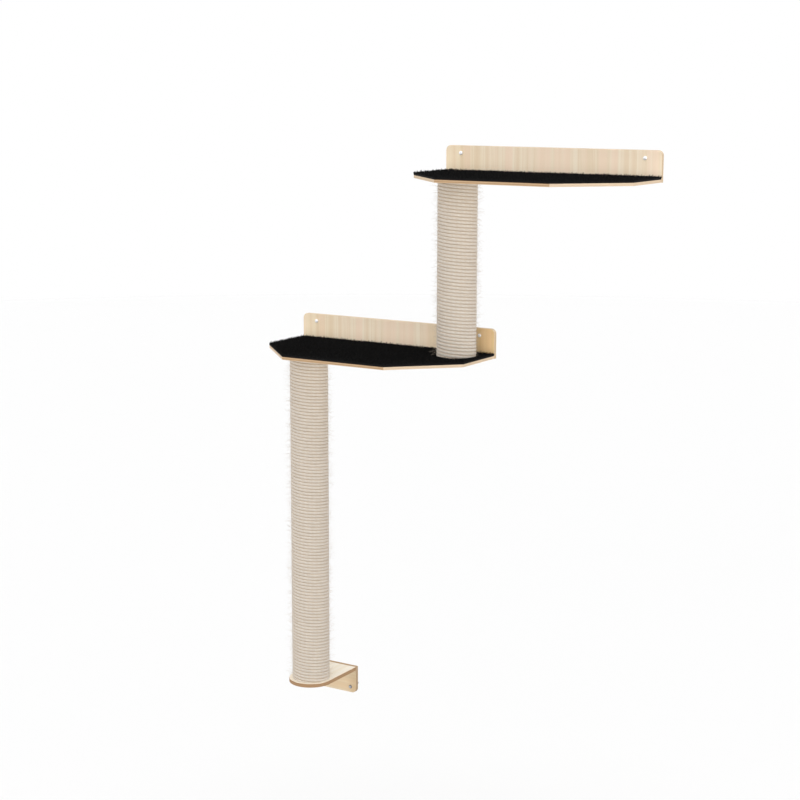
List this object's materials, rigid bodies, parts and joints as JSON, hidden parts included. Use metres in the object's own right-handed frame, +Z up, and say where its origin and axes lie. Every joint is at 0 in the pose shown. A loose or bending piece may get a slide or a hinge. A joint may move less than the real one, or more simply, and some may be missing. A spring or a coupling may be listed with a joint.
{
  "type": "wall-mounted cat scratcher",
  "caption": "Wall-mounted cat scratcher: carpeted plywood shelves set in a step, joined by sisal-wound posts and standing on a foot bracket.",
  "frame": {"origin": "on the wall plane, midway between the axes of the lower shelf's wall screws", "axes": "+X to the right along the wall, +Y into the wall, +Z up"},
  "size_m": [0.982, 0.326, 1.434],
  "materials": {
    "plywood": "clear-lacquered birch plywood",
    "carpet": "black cut pile",
    "sisal_rope": "natural sisal, matt",
    "cardboard": "wound kraft board",
    "plug_wood": "bare softwood",
    "zinc_steel": "zinc-plated",
    "bright_screw": "bright nickel plate"
  },
  "bodies": {
    "root": {"foot_back_plate": "plywood", "foot_joint_screws": "zinc_steel", "foot_plate": "plywood", "foot_wall_screws": "bright_screw", "lower_post_bottom_bolt": "zinc_steel", "lower_post_bottom_insert": "zinc_steel", "lower_post_bottom_plug": "plug_wood", "lower_post_bottom_washer": "zinc_steel", "lower_post_ropes": "sisal_rope", "lower_post_top_bolt": "zinc_steel", "lower_post_top_insert": "zinc_steel", "lower_post_top_plug": "plug_wood", "lower_post_tube": "cardboard", "lower_shelf_back_plate": "plywood", "lower_shelf_board": "plywood", "lower_shelf_carpet": "carpet", "lower_shelf_joint_screws": "zinc_steel", "lower_shelf_wall_screws": "bright_screw", "upper_post_bottom_bolt": "zinc_steel", "upper_post_bottom_insert": "zinc_steel", "upper_post_bottom_plug": "plug_wood", "upper_post_bottom_washer": "zinc_steel", "upper_post_ropes": "sisal_rope", "upper_post_top_bolt": "zinc_steel", "upper_post_top_insert": "zinc_steel", "upper_post_top_plug": "plug_wood", "upper_post_tube": "cardboard", "upper_shelf_back_plate": "plywood", "upper_shelf_board": "plywood", "upper_shelf_carpet": "carpet", "upper_shelf_joint_screws": "zinc_steel", "upper_shelf_wall_screws": "bright_screw"}
  },
  "joints": []
}
